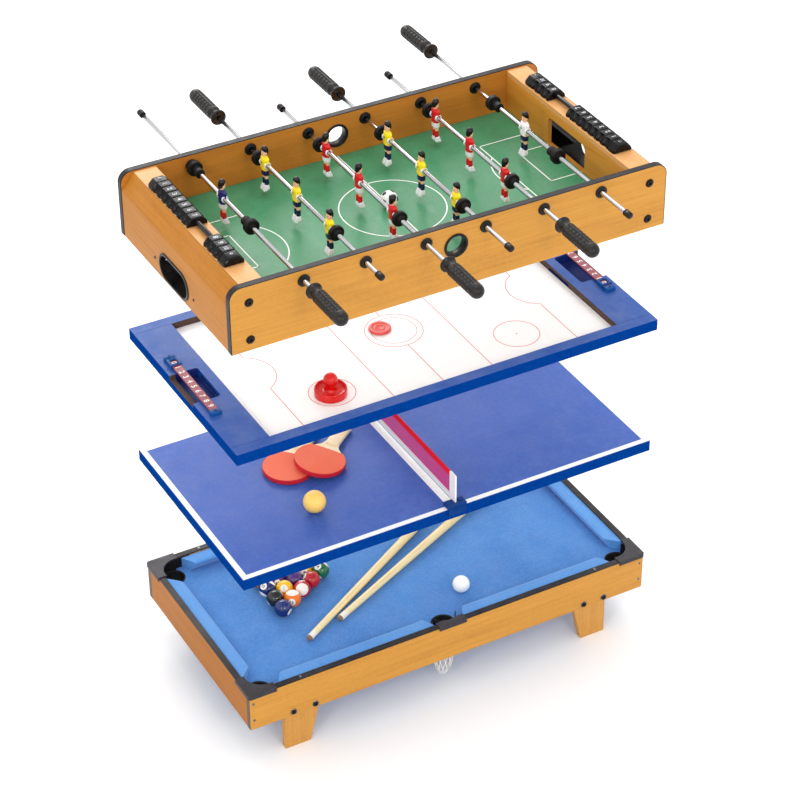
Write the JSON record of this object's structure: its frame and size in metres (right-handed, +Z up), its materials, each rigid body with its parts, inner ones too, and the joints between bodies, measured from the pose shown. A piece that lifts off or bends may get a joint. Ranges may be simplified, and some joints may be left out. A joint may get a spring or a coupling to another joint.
{
  "type": "multi game table",
  "caption": "Tabletop game set on four short legs: pool base, with ping-pong, air-hockey and foosball tops that stack on it.",
  "frame": {"origin": "on the floor, under the middle of the whole outline, grips included", "axes": "+X along the table's length to the right of the picture, +Y to the back, +Z up"},
  "size_m": [0.8146, 0.8432, 1.0075],
  "materials": {
    "honey_board": "honey woodgrain foil on board, satin",
    "pale_board": "pale woodgrain foil on board, satin",
    "green_field": "green printed board, satin",
    "blue_cloth": "short-pile blue cloth on board",
    "black_moulding": "black moulded plastic, satin",
    "black_beads": "black moulded plastic with white printed figures",
    "black_grip": "black moulded plastic, fine matt ribs",
    "cue_wood": "pale lacquered wood",
    "pool_ball": "cast resin, high gloss, a colour for each ball",
    "cue_ball": "white cast resin, high gloss",
    "table_blue": "blue painted board, satin",
    "net": "white and red woven bands, coloured mesh, white plastic posts",
    "racket": "red rubber sheets on pale wood",
    "yellow_ball": "yellow celluloid, matt",
    "score_strip": "maroon strip with white figures, blue end caps",
    "score_slider": "blue moulded plastic, glossy",
    "red_plastic": "red moulded plastic, glossy",
    "men_and_bars_left": "painted men on a bright steel tube",
    "men_and_bars_yellow": "painted men on a bright steel tube",
    "men_and_bars_red": "painted men on a bright steel tube",
    "men_and_bars_right": "painted men on a bright steel tube",
    "football_white": "white plastic with black patches"
  },
  "bodies": {
    "pool_base": {"pool_front_rail": "honey_board", "pool_back_rail": "honey_board", "pool_left_rail": "honey_board", "pool_right_rail": "honey_board", "pool_bed": "blue_cloth", "pool_rail_frame": "black_moulding", "leg_front_left": "honey_board", "leg_front_right": "honey_board", "leg_back_left": "honey_board", "leg_back_right": "honey_board", "racked_balls": "pool_ball", "cue_left": "cue_wood", "cue_right": "cue_wood"},
    "cue_ball_body": {"cue_ball": "cue_ball"},
    "ping_pong_top": {"ping_pong_board": "table_blue", "net": "net", "racket_left": "racket", "racket_right": "racket"},
    "ping_pong_ball_body": {"ping_pong_ball": "yellow_ball"},
    "hockey_top": {"hockey_board": "table_blue", "score_strip_left": "score_strip", "score_strip_right": "score_strip"},
    "score_slider_left_body": {"score_slider_left": "score_slider"},
    "score_slider_right_body": {"score_slider_right": "score_slider"},
    "puck_body": {"puck": "red_plastic"},
    "pusher_body": {"pusher": "red_plastic"},
    "foosball_top": {"foosball_front_panel": "honey_board", "foosball_back_panel": "honey_board", "foosball_left_panel": "honey_board", "foosball_right_panel": "honey_board", "goal_box_left": "pale_board", "goal_box_right": "pale_board", "foosball_field": "green_field", "ball_tray_left": "black_moulding", "ball_tray_right": "black_moulding", "counter_rod_left": "black_moulding", "counter_rod_right": "black_moulding"},
    "football_body": {"football": "football_white"},
    "beads_left_back_body": {"beads_left_back": "black_beads"},
    "beads_left_front_body": {"beads_left_front": "black_beads"},
    "beads_right_back_body": {"beads_right_back": "black_beads"},
    "beads_right_front_body": {"beads_right_front": "black_beads"},
    "rod_1_carrier": {"rod_1_end_cap": "black_moulding"},
    "rod_1_men": {"rod_1": "men_and_bars_left", "rod_1_grip": "black_grip"},
    "rod_2_carrier": {"rod_2_end_cap": "black_moulding"},
    "rod_2_men": {"rod_2": "men_and_bars_yellow", "rod_2_grip": "black_grip"},
    "rod_3_carrier": {"rod_3_end_cap": "black_moulding"},
    "rod_3_men": {"rod_3": "men_and_bars_red", "rod_3_grip": "black_grip"},
    "rod_4_carrier": {"rod_4_end_cap": "black_moulding"},
    "rod_4_men": {"rod_4": "men_and_bars_yellow", "rod_4_grip": "black_grip"},
    "rod_5_carrier": {"rod_5_end_cap": "black_moulding"},
    "rod_5_men": {"rod_5": "men_and_bars_red", "rod_5_grip": "black_grip"},
    "rod_6_carrier": {"rod_6_end_cap": "black_moulding"},
    "rod_6_men": {"rod_6": "men_and_bars_right", "rod_6_grip": "black_grip"}
  },
  "joints": [
    {"name": "ping_pong_top_lift", "type": "slide", "parent": "pool_base", "child": "ping_pong_top", "axis": [0, 0, 1], "range_m": [-0.226, 0]},
    {"name": "hockey_top_lift", "type": "slide", "parent": "ping_pong_top", "child": "hockey_top", "axis": [0, 0, 1], "range_m": [-0.172, 0]},
    {"name": "foosball_top_lift", "type": "slide", "parent": "hockey_top", "child": "foosball_top", "axis": [0, 0, 1], "range_m": [-0.184, 0]},
    {"name": "rod_1_push", "type": "slide", "parent": "foosball_top", "child": "rod_1_carrier", "axis": [0, 1, 0], "range_m": [-0.16346, 0.00334]},
    {"name": "rod_1_spin", "type": "hinge", "parent": "rod_1_carrier", "child": "rod_1_men", "pos_m": [-0.275, 0.04266, 0.974], "axis": [0, 1, 0], "continuous": true},
    {"name": "rod_2_push", "type": "slide", "parent": "foosball_top", "child": "rod_2_carrier", "axis": [0, 1, 0], "range_m": [-0.07331, 0.01949]},
    {"name": "rod_2_spin", "type": "hinge", "parent": "rod_2_carrier", "child": "rod_2_men", "pos_m": [-0.165, -0.01049, 0.974], "axis": [0, 1, 0], "continuous": true},
    {"name": "rod_3_push", "type": "slide", "parent": "foosball_top", "child": "rod_3_carrier", "axis": [0, 1, 0], "range_m": [-0.06218, 0.03062]},
    {"name": "rod_3_spin", "type": "hinge", "parent": "rod_3_carrier", "child": "rod_3_men", "pos_m": [-0.055, -0.02162, 0.974], "axis": [0, 1, 0], "continuous": true},
    {"name": "rod_4_push", "type": "slide", "parent": "foosball_top", "child": "rod_4_carrier", "axis": [0, 1, 0], "range_m": [-0.0464, 0.0464]},
    {"name": "rod_4_spin", "type": "hinge", "parent": "rod_4_carrier", "child": "rod_4_men", "pos_m": [0.055, -0.0374, 0.974], "axis": [0, 1, 0], "continuous": true},
    {"name": "rod_5_push", "type": "slide", "parent": "foosball_top", "child": "rod_5_carrier", "axis": [0, 1, 0], "range_m": [-0.07517, 0.01763]},
    {"name": "rod_5_spin", "type": "hinge", "parent": "rod_5_carrier", "child": "rod_5_men", "pos_m": [0.165, -0.00863, 0.974], "axis": [0, 1, 0], "continuous": true},
    {"name": "rod_6_push", "type": "slide", "parent": "foosball_top", "child": "rod_6_carrier", "axis": [0, 1, 0], "range_m": [-0.11342, 0.05338]},
    {"name": "rod_6_spin", "type": "hinge", "parent": "rod_6_carrier", "child": "rod_6_men", "pos_m": [0.275, -0.00738, 0.974], "axis": [0, 1, 0], "continuous": true},
    {"name": "football_roll", "type": "slide", "parent": "foosball_top", "child": "football_body", "axis": [0, 1, 0], "range_m": [-0.175, 0.165]},
    {"name": "beads_left_back_slide", "type": "slide", "parent": "foosball_top", "child": "beads_left_back_body", "axis": [0, 1, 0], "range_m": [-0.0285, 0]},
    {"name": "beads_left_front_slide", "type": "slide", "parent": "foosball_top", "child": "beads_left_front_body", "axis": [0, 1, 0], "range_m": [0, 0.0285]},
    {"name": "beads_right_front_slide", "type": "slide", "parent": "foosball_top", "child": "beads_right_front_body", "axis": [0, 1, 0], "range_m": [0, 0.0285]},
    {"name": "beads_right_back_slide", "type": "slide", "parent": "foosball_top", "child": "beads_right_back_body", "axis": [0, 1, 0], "range_m": [-0.0285, 0]},
    {"name": "score_slider_left_slide", "type": "slide", "parent": "hockey_top", "child": "score_slider_left_body", "axis": [0, 1, 0], "range_m": [-0.144, 0]},
    {"name": "score_slider_right_slide", "type": "slide", "parent": "hockey_top", "child": "score_slider_right_body", "axis": [0, 1, 0], "range_m": [0, 0.144]},
    {"name": "puck_glide", "type": "slide", "parent": "hockey_top", "child": "puck_body", "axis": [1, 0, 0], "range_m": [-0.29, 0.33]},
    {"name": "pusher_push", "type": "slide", "parent": "hockey_top", "child": "pusher_body", "axis": [1, 0, 0], "range_m": [-0.118, 0.155]},
    {"name": "ping_pong_ball_roll", "type": "slide", "parent": "ping_pong_top", "child": "ping_pong_ball_body", "axis": [1, 0, 0], "range_m": [-0.17, 0.19]},
    {"name": "cue_ball_roll", "type": "slide", "parent": "pool_base", "child": "cue_ball_body", "axis": [1, 0, 0], "range_m": [-0.2, 0.26]}
  ]
}
